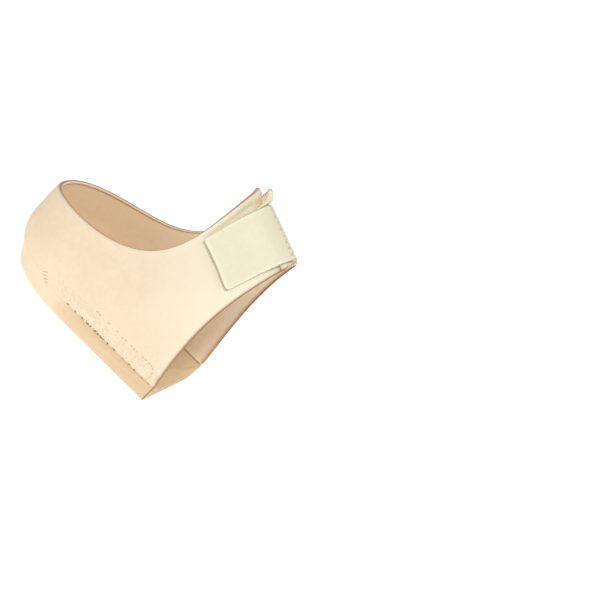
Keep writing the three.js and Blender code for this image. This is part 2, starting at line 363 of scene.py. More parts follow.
def make_knit():
    """Jersey knit from the flat map: a ridge across each column of loops, times a slanted sine along it,
    with a soft fuzz; and a mottling of the colour from two noises."""
    inputs = {"Flat": None, "Place": None, "Rib": 0.9}
    group, given, result = new_group("jersey knit", inputs, ["Height", "Mottle"])
    place = given.outputs["Place"]
    apart = add_node(group, "ShaderNodeSeparateXYZ", Vector=given.outputs["Flat"])
    column = math_node(group, "DIVIDE", apart.outputs["X"], given.outputs["Rib"])
    row = math_node(group, "DIVIDE", apart.outputs["Y"], given.outputs["Rib"])
    across = math_node(group, "PINGPONG", column, 0.5)
    slanted = math_node(group, "ADD", math_node(group, "MULTIPLY", row, LOOPS_TO_RIB), across)
    loops = math_node(group, "SINE", math_node(group, "MULTIPLY", slanted, 2 * np.pi))
    ribs = math_node(group, "MULTIPLY", math_node(group, "ADD", loops, 2.0), across)
    fuzz = add_node(group, "ShaderNodeTexNoise", Vector=place, Scale=900.0, Detail=3.0)
    height = math_node(group, "ADD", math_node(group, "MULTIPLY", ribs, RIB_RELIEF), fuzz.outputs["Fac"])
    group.links.new(height, result.inputs["Height"])
    patches = add_node(group, "ShaderNodeTexNoise", Vector=place, Scale=60.0, Detail=2.0)
    specks = add_node(group, "ShaderNodeTexNoise", Vector=place, Scale=420.0, Detail=2.0)
    mottle = math_node(group, "ADD", patches.outputs["Fac"], specks.outputs["Fac"])
    spread = add_node(group, "ShaderNodeMapRange", Value=mottle, From_Min=0.7, From_Max=1.3)
    group.links.new(spread.outputs["Result"], result.inputs["Mottle"])
    return group


KNIT = make_knit()


def colour(red, green, blue):
    """A linear colour from the 0 to 255 values of a screen colour."""
    screen = np.array([red, green, blue]) / 255
    linear = np.where(screen <= 0.04045, screen / 12.92, ((screen + 0.055) / 1.055) ** 2.4)
    return (*linear, 1.0)


# Materials

PEACH, PEACH_SHADE = colour(248, 227, 198), colour(244, 220, 189)
CREAM = colour(250, 239, 212)
# Painted shade in the near wing's crease above the tab
CREASE_SHADE_OLIVE = colour(224, 212, 170)
# Painted highlight along the rolled collar and the wing ends
EDGE_HIGHLIGHT = colour(254, 246, 224)
# Painted shade and highlight on the seam's puckers, darker in their hollows and paler on their crests
PUCKER_SHADE, PUCKER_HIGHLIGHT = colour(222, 196, 158), colour(255, 244, 220)
# Painted shadow: the brown line along the sleeve's edges and down the pad's front corners
EDGE_SHADOW_BROWN = colour(150, 86, 54)
WARM_SHEEN = colour(255, 214, 170)
TAN, TAN_SHADE = colour(234, 208, 172), colour(229, 200, 162)
TAN_FRONT = colour(222, 194, 158)
TAPE, TAPE_SHADE = colour(244, 237, 209), colour(240, 232, 203)
# Painted shade on the tape's wall and underside
# The tape's pale edge colour is partly its own paler edge and partly painted highlight
TAPE_PALE_EDGE_HIGHLIGHT, TAPE_WALL_SHADE = colour(253, 249, 226), colour(124, 100, 56)
SLEEVE_RIB, SOLE_RIB, TAPE_RIB = 0.9, 0.6, 0.5
THREAD_TWIST = 9.0  # radians for each millimetre of thread


def new_material(name, roughness=0.85):
    """A matt material with its node tree and shader."""
    material = bpy.data.materials.new(name)
    material.use_nodes = True
    shader = material.node_tree.nodes["Principled BSDF"]
    shader.inputs["Roughness"].default_value = roughness
    shader.inputs["Specular IOR Level"].default_value = 0.15
    return material, material.node_tree, shader


def mark_of(tree, name):
    """The output of a named value of the mesh's points."""
    return add_node(tree, "ShaderNodeAttribute", {"attribute_name": name}).outputs["Fac"]


def faded_mark(tree, name, strength):
    """The output of a named value of the mesh's points, times strength."""
    return math_node(tree, "MULTIPLY", mark_of(tree, name), strength)


def knit_on(tree, rib):
    """The knit group on a piece's flat map, and the place in the piece."""
    place = add_node(tree, "ShaderNodeTexCoord").outputs["Object"]
    flat = add_node(tree, "ShaderNodeUVMap", {"uv_map": "flat"})
    return place_group(tree, KNIT, Flat=flat.outputs["UV"], Place=place, Rib=rib), place


def link_relief(tree, shader, height, strength, distance, under=None):
    """A height as the shader's bump, distance in metres, on the normal of a coarser bump under it."""
    relief = add_node(tree, "ShaderNodeBump", Height=height, Strength=strength, Distance=distance)
    if under is not None:
        tree.links.new(under, relief.inputs["Normal"])
    tree.links.new(relief.outputs["Normal"], shader.inputs["Normal"])


def sleeve_material():
    """Stretch jersey: peach at the heel and cream at the wings, with a painted highlight along its edges, a
    painted brown shadow line at them, painted olive shade in the wing's crease, and puckered along the seam
    with painted shade and highlight on the puckers."""
    material, tree, shader = new_material("sleeve cloth")
    knit, place = knit_on(tree, SLEEVE_RIB)
    shaded = mix_colour(tree, knit.outputs["Mottle"], PEACH, PEACH_SHADE)
    toned = mix_colour(tree, mark_of(tree, "tone"), shaded, CREAM)
    # Painted olive shade in the wing's crease
    crease_shaded = mix_colour(tree, faded_mark(tree, "crease", strength=0.45), toned, CREASE_SHADE_OLIVE)
    # Painted highlight: a pale band along the collar and the wing ends
    edged = mix_colour(tree, faded_mark(tree, "edge", strength=0.6), crease_shaded, EDGE_HIGHLIGHT)
    pucker = add_node(tree, "ShaderNodeTexNoise", Vector=place, Scale=760.0, Detail=1.5)
    gathers = add_node(tree, "ShaderNodeMapRange", Value=pucker.outputs["Fac"], From_Min=0.36, From_Max=0.64)
    # Painted shade and highlight that follow the height of the pucker bump
    pucker_shading = mix_colour(tree, gathers.outputs["Result"], PUCKER_SHADE, PUCKER_HIGHLIGHT)
    pucker_shaded = mix_colour(tree, faded_mark(tree, "pucker", strength=0.24), edged, pucker_shading)
    # Painted shadow: the brown line at the sleeve's collar and front edges
    edge_shadowed = mix_colour(tree, mark_of(tree, "edge_shadow"), pucker_shaded, EDGE_SHADOW_BROWN)
    tree.links.new(edge_shadowed, shader.inputs["Base Color"])
    puckered = math_node(tree, "MULTIPLY", gathers.outputs["Result"], mark_of(tree, "pucker"))
    coarse = add_node(tree, "ShaderNodeBump", Height=puckered, Strength=0.6, Distance=0.0003)
    under = coarse.outputs["Normal"]
    link_relief(tree, shader, knit.outputs["Height"], strength=0.3, distance=0.0002, under=under)
    shader.inputs["Sheen Weight"].default_value = 0.08
    shader.inputs["Sheen Tint"].default_value = WARM_SHEEN
    return material


def sole_material():
    """Close-knit sole cloth: tan along the sole, deeper to the front, and the sleeve's peach behind the
    heel. The painted brown shadow line of the sleeve's front edge goes on down the pad's front corners."""
    material, tree, shader = new_material("sole cloth")
    knit, _ = knit_on(tree, SOLE_RIB)
    peach = mix_colour(tree, knit.outputs["Mottle"], PEACH, PEACH_SHADE)
    tan = mix_colour(tree, knit.outputs["Mottle"], TAN, TAN_SHADE)
    deeper = mix_colour(tree, mark_of(tree, "front"), tan, TAN_FRONT)
    toned = mix_colour(tree, mark_of(tree, "tan"), peach, deeper)
    corner = mark_of(tree, "corner")
    # Painted shadow: the brown line down the pad's front corners
    corner_shadow = add_node(tree, "ShaderNodeMapRange", Value=corner, From_Min=1.0, From_Max=0.3, To_Max=0.7)
    corner_shadowed = mix_colour(tree, corner_shadow.outputs["Result"], toned, EDGE_SHADOW_BROWN)
    tree.links.new(corner_shadowed, shader.inputs["Base Color"])
    link_relief(tree, shader, knit.outputs["Height"], strength=0.2, distance=0.0002)
    return material


def tab_material():
    """Smooth greenish cream tape, with a pale line inside its edges, least along the upper one, that is
    partly its own paler edge and partly painted highlight, and painted olive-brown shade on its cut wall and
    underside.
    """
    material, tree, shader = new_material("tab tape", roughness=0.75)
    knit, _ = knit_on(tree, TAPE_RIB)
    tape = mix_colour(tree, knit.outputs["Mottle"], TAPE, TAPE_SHADE)
    # Pale line inside the edges: partly the tape's paler edge, partly painted highlight
    edged = mix_colour(tree, faded_mark(tree, "edge", strength=0.7), tape, TAPE_PALE_EDGE_HIGHLIGHT)
    # Painted shade on the tape's wall and underside
    wall_shaded = mix_colour(tree, mark_of(tree, "wall_shade"), edged, TAPE_WALL_SHADE)
    tree.links.new(wall_shaded, shader.inputs["Base Color"])
    link_relief(tree, shader, knit.outputs["Height"], strength=0.2, distance=0.00015)
    return material


def thread_material(name, base, shade):
    """Twisted thread: slanting stripes of base and shade round its length, as a sine of length and turn."""
    material, tree, shader = new_material(name, roughness=0.7)
    flat = add_node(tree, "ShaderNodeUVMap", {"uv_map": "flat"})
    apart = add_node(tree, "ShaderNodeSeparateXYZ", Vector=flat.outputs["UV"])
    twist = math_node(tree, "MULTIPLY_ADD", apart.outputs["X"], THREAD_TWIST, apart.outputs["Y"])
    stripe = math_node(tree, "MULTIPLY_ADD", math_node(tree, "SINE", twist), 0.5, 0.5)
    tree.links.new(mix_colour(tree, stripe, base, shade), shader.inputs["Base Color"])
    link_relief(tree, shader, stripe, strength=0.4, distance=0.0001)
    return material


# Sleeve

SLEEVE_COLUMNS, SLEEVE_ROWS, ROUGH_ROWS = 330, 90, 40
SLEEVE_LENGTH = 190.0
EDGE_ROLL, EDGE_ROLL_REACH = 0.35, 2.5
SEAM_EDGE_ROUND, HIDDEN_EDGE_ROUND = 0.2, 0.02
SEAM_TUCK, SEAM_TUCK_WIDTH = 0.2, 0.9
SEAM_SHOWS_FROM, SEAM_SHOWS_TO = -1.0, 12.0
SEAM_END = -0.004, 0.012  # of the wrap before the front corners, over which the seam sets in
SECOND_ROW = 8.2  # height of the upper row of stitches above the seam
SECOND_ROW_DENT, SECOND_ROW_WIDTH = 0.12, 0.9
ROWS_SWELL, ROWS_SWELL_WIDTH = 0.3, 2.4

# Slow waves of the cloth: radians for each millimetre of x, y and z, and a shift
SLACK_WAVES = np.array([(0.17, 0.0, 0.09, 0.0), (-0.11, 0.05, 0.13, 1.3), (0.08, 0.21, 0.0, 0.0)])
SLACK_HEIGHT = 0.22
SLACK_OFF_SEAM, SLACK_OFF_COLLAR = (2.0, 12.0), (1.0, 8.0)  # distances over which the waves set in

# The near wing's crease and the wings' corners, as angles from the middle of the instep and shares
HOLLOW_DEPTH, HOLLOW_SHARE, HOLLOW_WIDTH = 1.0, 0.1, 0.032
HOLLOW_START, HOLLOW_END = (-0.1, 0.15), (0.45, 0.85)
BRIM_RISE, BRIM_WIDTH = 0.6, 0.035  # of the collar over the crease
NEAR_PEAK_PAST, NEAR_PEAK_SHARE, NEAR_PEAK_WIDTH = -0.02, 0.017, 0.18
FAR_CORNER_BACK, FAR_CORNER_SHARE, FAR_CORNER_FROM = 0.25, 0.17, -0.6
FAR_FLARE, FAR_FLARE_SHARE, FAR_FLARE_PAST = 2.6, 0.08, (-0.6, -0.2)
FAR_PEAK_SHARE, FAR_PEAK_PAST = 0.025, (-0.75, -0.1)

# Tones of the sleeve's cloth, and its painted highlight, shadow line and shade
TONE_X, TONE_Z, TONE_RANGE = 0.6, 0.8, (30.0, 80.0)  # direction from heel to wing, and where the tone turns
# Painted highlight: the pale band along the rolled collar and the wing ends
EDGE_LINE_INSET, EDGE_LINE_WIDTH = 0.5, 0.6
EDGE_SHADOW_HEEL, EDGE_SHADOW_FRONT, EDGE_SHADOW_COLLAR = 0.75, 1.0, 0.7  # strength of the painted brown shadow line at the edges
FRONT_SHADOW_OUT, FRONT_SHADOW_IN = 0.85, 1.2  # its width on the two faces of the front edge
COLLAR_SHADOW_OUT, COLLAR_SHADOW_IN, COLLAR_SHADOW_INSET = 0.55, 0.4, 1.0  # and on those of the collar
OFF_THE_LINE = 50.0  # further from the edge than the painted shadow line reaches
PUCKER_RANGE, PUCKER_RISE, PUCKER_FADE = (-16.0, 6.0), 3.0, 6.0


def seam_shows(x):
    """How far the sole's seam shows: 0 behind the heel, where the cloth runs on, and 1 along the sole."""
    return smooth(x, SEAM_SHOWS_FROM, SEAM_SHOWS_TO)


def seam_relief(x, above):
    """Rise of the sleeve's face over the seam: tucked in at the seam, full between the two rows of
    stitches, and drawn in a little at the upper row."""
    tuck = SEAM_TUCK * bump_at(above, SEAM_TUCK_WIDTH)
    full = ROWS_SWELL * bump_at(above - SECOND_ROW / 2, ROWS_SWELL_WIDTH)
    dent = SECOND_ROW_DENT * bump_at(above - SECOND_ROW, SECOND_ROW_WIDTH)
    return seam_shows(x) * (full - tuck - dent)


def slack(points):
    """Slow unevenness of worn cloth: the mean of three sines of the place, between -1 and 1."""
    return np.sin(points @ SLACK_WAVES[:, :3].T + SLACK_WAVES[:, 3]).mean(axis=-1)


def wing_crease(around, share):
    """How far a point lies in the near wing's crease above the tab, as a bell across it, and how far it
    lies along the crease, smooth at its two ends."""
    past = np.pi + around
    along = smooth(past, *HOLLOW_START) * (1 - smooth(past, *HOLLOW_END)) * (around < 0)
    return along * bump_at(share - HOLLOW_SHARE, HOLLOW_WIDTH), along


def cut_corners(around, share):
    """The wings' upper corners: the near one drawn up to a blunt peak, the far one drawn up and cut back
    towards its own side."""
    at_top = np.maximum(1 - share / FAR_CORNER_SHARE, 0)
    near_peak = NEAR_PEAK_SHARE * bump_at(np.pi + around - NEAR_PEAK_PAST, NEAR_PEAK_WIDTH) * at_top
    far_peak = FAR_PEAK_SHARE * smooth(around - np.pi, *FAR_PEAK_PAST) * at_top
    far_end = smooth(around - np.pi, FAR_CORNER_FROM, FAR_WING_PAST)
    back = FAR_CORNER_BACK * (1 - smooth(share, 0, FAR_CORNER_SHARE)) * far_end
    return around - back, share - near_peak - far_peak


def sleeve_grid():
    """The sleeve's grid on the form: wrap runs from the near wing's end round the heel to the far wing's
    end, and drop from the collar to the lower edge. With each point come its distances from the edges."""
    near_end, far_end = -1 - NEAR_WING_PAST / np.pi, 1 + FAR_WING_PAST / np.pi
    wrap = blend(near_end, far_end, crowded(SLEEVE_COLUMNS, SLEEVE_LENGTH))
    upper_angle = wrap[:, None] * np.pi
    lower_angle, lower_share = (values[:, None] for values in sleeve_lower_edge(wrap))
    rough = np.linspace(0, 1, ROUGH_ROWS)
    rough_lines = form_point(blend(upper_angle, lower_angle, rough), rough * lower_share)
    drop = crowded(SLEEVE_ROWS, line_length(rough_lines, 1)[:, -1])
    around, share = cut_corners(blend(upper_angle, lower_angle, drop), drop * lower_share)
    surface = form_point(around, share)
    from_collar, from_near = line_length(surface, 1), line_length(surface, 0)
    from_far = from_near[-1:] - from_near
    return SimpleNamespace(
        around=around,
        share=share,
        surface=surface,
        from_collar=from_collar,
        from_lower=from_collar[:, -1:] - from_collar,
        from_near=from_near,
        from_ends=np.minimum(np.minimum(from_near, from_far), from_collar),
        on_seam=smooth(FRONT_CORNER_WRAP - np.abs(wrap), *SEAM_END)[:, None],
    )


def sleeve_lift(cloth):
    """Lift of the wall off the form, as a sum: the far wing over the near one, the rolled edges, the seam's
    relief, the slack, the near wing's crease and the far wing's flared corner."""
    x, _, z = np.moveaxis(cloth.surface, -1, 0)
    overlap = smooth(cloth.around, np.pi - FAR_WING_RISE_FROM, np.pi - FAR_WING_RISE_TO)
    collar_roll = np.maximum(1 - cloth.from_collar / EDGE_ROLL_REACH, 0) ** 2
    lower_roll = np.maximum(1 - cloth.from_lower / EDGE_ROLL_REACH, 0) ** 2
    loose = smooth(cloth.from_lower, *SLACK_OFF_SEAM) * smooth(cloth.from_collar, *SLACK_OFF_COLLAR)
    crease, along_crease = wing_crease(cloth.around, cloth.share)
    far_top = 1 - smooth(cloth.share, FAR_FLARE_SHARE, FAR_CORNER_SHARE)
    return (
        (WALL + GAP) * overlap
        - EDGE_ROLL * collar_roll
        - EDGE_ROLL * (1 - cloth.on_seam) * lower_roll
        + seam_relief(x, z - SEAM_Z)
        + SLACK_HEIGHT * slack(cloth.surface) * loose
        - HOLLOW_DEPTH * crease
        + BRIM_RISE * along_crease * bump_at(cloth.share, BRIM_WIDTH)
        + FAR_FLARE * far_top * smooth(cloth.around - np.pi, *FAR_FLARE_PAST)
    )


def sleeve_marks(cloth):
    """Named values of the sleeve's points: the tone from heel to wing, the crease's painted shade, the
    puckers, and bells along the edges for the painted highlight and the painted brown shadow line, which is
    double at the collar and single in front."""
    x, _, z = np.moveaxis(cloth.surface, -1, 0)
    tone = smooth(TONE_X * x + TONE_Z * z, *TONE_RANGE)
    edge = bump_at(cloth.from_ends - EDGE_LINE_INSET, EDGE_LINE_WIDTH)
    crease, _ = wing_crease(cloth.around, cloth.share)
    pucker = smooth(x, *PUCKER_RANGE) * bump_at(np.maximum(z - SEAM_Z - PUCKER_RISE, 0), PUCKER_FADE)

    # The painted brown shadow line at the edges, on both faces
    core_edge = np.minimum(cloth.from_collar, cloth.from_lower + OFF_THE_LINE * cloth.on_seam)
    at_front = cloth.from_lower < cloth.from_collar
    edge_shadow = blend(EDGE_SHADOW_HEEL, np.where(at_front, EDGE_SHADOW_FRONT, EDGE_SHADOW_COLLAR), tone)
    outer_edge_shadow = edge_shadow * bump_at(core_edge, np.where(at_front, FRONT_SHADOW_OUT, COLLAR_SHADOW_OUT))
    collar_edge_shadow = bump_at(core_edge - COLLAR_SHADOW_INSET, COLLAR_SHADOW_IN)
    inner_edge_shadow = edge_shadow * np.where(at_front, bump_at(core_edge, FRONT_SHADOW_IN), collar_edge_shadow)
    return {
        "edge": both_sides(edge, 0 * edge),
        "edge_shadow": both_sides(outer_edge_shadow, inner_edge_shadow),
        "tone": both_sides(tone, tone),
        "crease": both_sides(crease, 0 * crease),
        "pucker": both_sides(pucker, 0 * pucker),
    }


def sleeve_cloth(material):
    """The sleeve: the middle of its wall is the form lowered by half the wall and moved by the lift; half
    the wall, round at every edge, stands off it on each side."""
    cloth = sleeve_grid()
    lift = sleeve_lift(cloth)
    seam_round = blend(HIDDEN_EDGE_ROUND, SEAM_EDGE_ROUND, seam_shows(cloth.surface[..., 0]))
    lower_round = blend(WALL / 2, seam_round, cloth.on_seam)
    rounding = np.minimum(edge_round(cloth.from_ends, WALL / 2), edge_round(cloth.from_lower, lower_round))
    half = WALL / 2 * rounding
    outer = lifted_point(cloth.around, cloth.share, lift - WALL / 2 + half)
    inner = lifted_point(cloth.around, cloth.share, lift - WALL / 2 - half)
    points, faces = closed_sheet(outer, inner)
    flat = np.stack([both_sides(v, v) for v in (cloth.from_near, cloth.from_collar)], axis=-1)
    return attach(new_piece("sleeve_cloth", points, [faces], material, flat, sleeve_marks(cloth)), "root")


# Sole pad

PAD_LOOP_STEPS, PAD_FRONT_STEPS = 150, 44
PAD_TOP_STEPS, PAD_SIDE_STEPS, PAD_UNDER_STEPS = 20, 20, 12
PAD_TOP_POWER, PAD_SIDE_POWER = 0.35, 1.5  # these draw the loops together at the rim
PAD_SLIM = 0.1  # how much thinner the pad is before it swells
RIM_RISE, RIM_SINK = 0.05, 0.03  # of the rim over the seam, and less where the seam shows
PAD_KEY, PAD_KEY_INSET, PAD_KEY_WIDTH = 0.9, 1.3, 0.8  # the rim's tongue in the sleeve's lower edge
PAD_BACK_SLOPE = 0.55  # of the side at the rim, behind the heel
PAD_GROOVE_WIDTH = 0.6
PAD_NOSE, PAD_NOSE_REACH = 2.0, 12.0
PAD_RIDGE, PAD_RIDGE_INSET, PAD_RIDGE_WIDTH = 1.4, 3.6, 1.3  # the sewn allowance inside the sleeve
PAD_RIDGE_FADE = 40.0, 58.0  # where it runs out, along x
PAD_TAN_RANGE, PAD_FRONT_RANGE, PAD_FRONT_TONE = (-4.0, 12.0), (15.0, 55.0), 0.6
CORNER_SHADOW_TAPER = 2  # how much faster the corner's painted shadow line fades off the side

# The swelling of its cloth
SWELL_FRAMES, SWELL_PRESSURE, SWELL_MASS, SWELL_CAP = 20, 4.0, 0.001, 0.5
SWELL_STRETCH, SWELL_BEND = 5, 0.05
HELD_SIDE = 0.1, 0.8  # shares of the side's height over which the hold sets in
HELD_FROM = 0.5  # the hold from which the cloth is fixed


def pad_rim():
    """The pad's rim: the level seam round the heel, closed by a straight front. Each point has its share
    along the side, its way in to the middle line, and on the front its distance from the corner."""
    side = np.linspace(-1, 1, PAD_LOOP_STEPS)
    seam = form_point(*seam_place(side))
    front = np.linspace(0, 1, PAD_FRONT_STEPS + 2)[1:-1]
    points = np.concatenate([seam, blend(seam[-1], seam[0], front[:, None])])
    x, y = points[:, 0], points[:, 1]
    on_front = np.arange(len(points)) >= PAD_LOOP_STEPS
    reach = np.stack([np.clip(x, PAD_SPINE_BACK, PAD_SPINE_FRONT) - x, -y], axis=-1)
    width = np.linalg.norm(reach, axis=-1)
    return SimpleNamespace(
        points=points,
        along=np.concatenate([np.abs(side), np.ones(PAD_FRONT_STEPS)]),
        reach=reach,
        width=np.where(on_front, width[0], width),
        on_front=on_front,
        from_corner=np.where(on_front, np.abs(y[0]) - np.abs(y), 0),
        shows=seam_shows(x),
    )


def pad_top_height(inset, shows, ridge):
    """Height of the pad's top over its underside: at the rim it reaches into the sleeve's lower edge, then
    come a low ridge inside the sleeve and a dish."""
    rim = SEAM_HEIGHT + RIM_RISE - RIM_SINK * shows
    dish = smooth(inset, PAD_DISH_FROM + PAD_RIDGE_INSET / 2, PAD_DISH_TO)
    key = PAD_KEY * bump_at(inset - PAD_KEY_INSET, PAD_KEY_WIDTH)
    return blend(rim, PAD_THICK, dish) + key + ridge * bump_at(inset - PAD_RIDGE_INSET, PAD_RIDGE_WIDTH)


def pad_profile(rim):
    """Insets and heights of the pad's loops, from the middle of the top out to the rim, down the side,
    which is a quarter ellipse with a groove under the seam, and in again to the middle of the underside.
    With them come the hold on the cloth and the distance off the side."""
    top_inset = rim.width * (1 - np.linspace(0, 1, PAD_TOP_STEPS)[:, None] ** PAD_TOP_POWER)
    ridge = PAD_RIDGE * (1 - smooth(rim.points[:, 0], *PAD_RIDGE_FADE))
    top_height = pad_top_height(np.hypot(top_inset, rim.from_corner), rim.shows, ridge)
    nose = PAD_NOSE * smooth(rim.from_corner, 0, PAD_NOSE_REACH)
    from_front = top_inset / rim.width * (SOLE_FRONT_X - PAD_SPINE_FRONT)
    top_height = top_height - nose * (1 - edge_round(from_front, PAD_NOSE_REACH))
    rim_height = top_height[-1]

    angle = np.pi / 2 * np.linspace(0, 1, PAD_SIDE_STEPS)[1:, None] ** PAD_SIDE_POWER
    side_height = blend(rim_height, PAD_SLIM, np.sin(angle))
    groove = SEAM_TUCK * rim.shows * bump_at(rim_height - side_height, PAD_GROOVE_WIDTH) * ~rim.on_front
    slope = PAD_BACK_SLOPE * (1 - rim.shows) * (rim_height - side_height) * side_height / rim_height
    side_inset = table_value(PAD_ROUND, "inset", rim.along) * (1 - np.cos(angle)) + groove + slope
    held_side = (1 - rim.shows) * smooth(side_height / rim_height, *HELD_SIDE)

    under_inset = blend(side_inset[-1], rim.width, np.linspace(0, 1, PAD_UNDER_STEPS)[1:, None])
    return SimpleNamespace(
        inset=np.concatenate([top_inset, side_inset, under_inset]),
        height=np.concatenate([top_height, side_height, np.full_like(under_inset, PAD_SLIM)]),
        held=np.concatenate([np.ones_like(top_inset), held_side, 0 * under_inset]),
        off_side=np.concatenate([top_inset, 0 * side_inset, under_inset - side_inset[-1]]),
    )


def pad_marks(rim, profile, x):
    """Named values of the pad's points: tan along the sole and deeper to the front, the distance from the
    painted shadow line down each front corner, and the hold on the swelling cloth."""
    run = line_length(rim.points[:PAD_LOOP_STEPS], 0)
    from_end = np.concatenate([np.minimum(run, run[-1] - run), rim.from_corner[PAD_LOOP_STEPS:]])
    return {
        "tan": smooth(x, *PAD_TAN_RANGE),
        "front": PAD_FRONT_TONE * smooth(x, *PAD_FRONT_RANGE),
        "corner": from_end + CORNER_SHADOW_TAPER * profile.off_side,
        "held": profile.held,
    }


def swell(piece):
    """The pad's cloth swells on its filling: Blender's cloth under pressure and without weight, held by the
    share in the mark held. Each point keeps what the cloth moved it along its own normal, up to the cap."""
    mesh, scene = piece.data, bpy.context.scene
    size = len(mesh.vertices)
    start, end, normal = np.empty((3, size, 3), np.float32)
    held = np.empty(size, np.float32)
    mesh.vertices.foreach_get("co", start.ravel())
    mesh.vertices.foreach_get("normal", normal.ravel())
    mesh.attributes["held"].data.foreach_get("value", held)
    group = piece.vertex_groups.new(name="held")
    group.add(np.flatnonzero(held > HELD_FROM).tolist(), 1.0, "REPLACE")

    cloth = piece.modifiers.new("swelling", "CLOTH")
    cloth.settings.use_pressure = True
    cloth.settings.uniform_pressure_force = SWELL_PRESSURE
    cloth.settings.mass = SWELL_MASS
    cloth.settings.tension_stiffness = cloth.settings.compression_stiffness = SWELL_STRETCH
    cloth.settings.bending_stiffness = SWELL_BEND
    cloth.settings.vertex_group_mass = group.name
    cloth.settings.effector_weights.gravity = 0
    cloth.collision_settings.use_collision = False
    cloth.point_cache.frame_start, cloth.point_cache.frame_end = 1, SWELL_FRAMES
    for moment in range(1, SWELL_FRAMES + 1):
        scene.frame_set(moment)
    swollen = piece.evaluated_get(bpy.context.evaluated_depsgraph_get())
    swollen.data.vertices.foreach_get("co", end.ravel())
    piece.modifiers.remove(cloth)
    piece.vertex_groups.clear()
    scene.frame_set(1)

    rise = np.clip(((end - start) * normal).sum(axis=1), -SWELL_CAP * MM, SWELL_CAP * MM) * (1 - held)
    mesh.vertices.foreach_set("co", (start + normal * rise[:, None]).ravel())
    mesh.update()


def sole_cushion(material):
    """The padded sole: loops of the rim's outline, each drawn in towards the middle line by its inset and
    set at its height, then swelled on the filling and smoothed by one subdivision."""
    rim = pad_rim()
    profile = pad_profile(rim)
    points = np.stack(
        [
            rim.points[:, 0] + rim.reach[:, 0] * profile.inset / rim.width,
            rim.points[:, 1] + rim.reach[:, 1] * profile.inset / rim.width,
            UNDERSIDE_Z + profile.height,
        ],
        axis=-1,
    )
    loops, count = profile.inset.shape
    index = np.arange(loops * count).reshape(loops, count)
    faces = grid_faces(np.concatenate([index, index[:, :1]], axis=1))[:, ::-1]
    run = line_length(rim.points, 0)[None]
    flat = np.stack(np.broadcast_arrays(run, profile.inset + profile.height), axis=-1)
    marks = pad_marks(rim, profile, points[..., 0])
    piece = new_piece("sole_cushion", points.reshape(-1, 3), [faces], material, flat.reshape(-1, 2), marks)
    join_points(piece.data)
    swell(piece)
    finer = piece.modifiers.new("finer cloth", "SUBSURF")
    finer.levels = finer.render_levels = 1
    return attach(piece, "root")


# Tab

TAB_COLUMNS, TAB_ROWS = 120, 150
TAB_TOP_ROUND, TAB_WALL_ROUND = 0.35, 0.25
TAPE_THICK, TAPE_GAP = 1.4, 0.25
TAB_TOP = TAPE_GAP + WALL + GAP + TAPE_THICK  # height of its face on the far wing, over the form
TAB_SCALLOPS, TAB_SCALLOP = 9, 0.022
TAB_END_SKEW = 0.18
TAB_RIM_INSET, TAB_RIM_WIDTH, TAB_RIM_CLEAR = 0.9, 0.5, 2.0  # the pale line along the edge of its face, partly the tape's own paler edge and partly painted highlight
WALL_SHADE, WALL_SHADE_FADED, WALL_SHADE_WIDTH = 0.85, 0.2, 0.25  # painted brown shade on its cut wall, along the free and lower edges
WALL_SHADE_FADE = 0.2, 0.65  # where the lower wall's painted shade fades, as angles past the middle of the instep
# width of the painted shade on the underside, in from its edges
UNDER_SHADE_WIDTH = 1.5


def tab_sewn_past(t):
    """Angle of the tab's sewn end past the middle of the instep, with its scallops left out."""
    return blend(TAB_UPPER["sewn_past"], TAB_LOWER["sewn_past"], t)


def tab_share(along, t):
    """Share of a point on the tab: along from sewn to free end, t from upper to lower edge."""
    upper = blend(TAB_UPPER["sewn_share"], TAB_UPPER["free_share"], along)
    lower = blend(TAB_LOWER["sewn_share"], TAB_LOWER["free_share"], along)
    return blend(upper, lower, t)


def tab_under(past):
    """Height of the tab's underside over the form: on the near wing, and a step higher on the far wing."""
    return TAPE_GAP + (WALL + GAP) * (1 - smooth(past, TAB_STEP_FROM, TAB_STEP_TO))


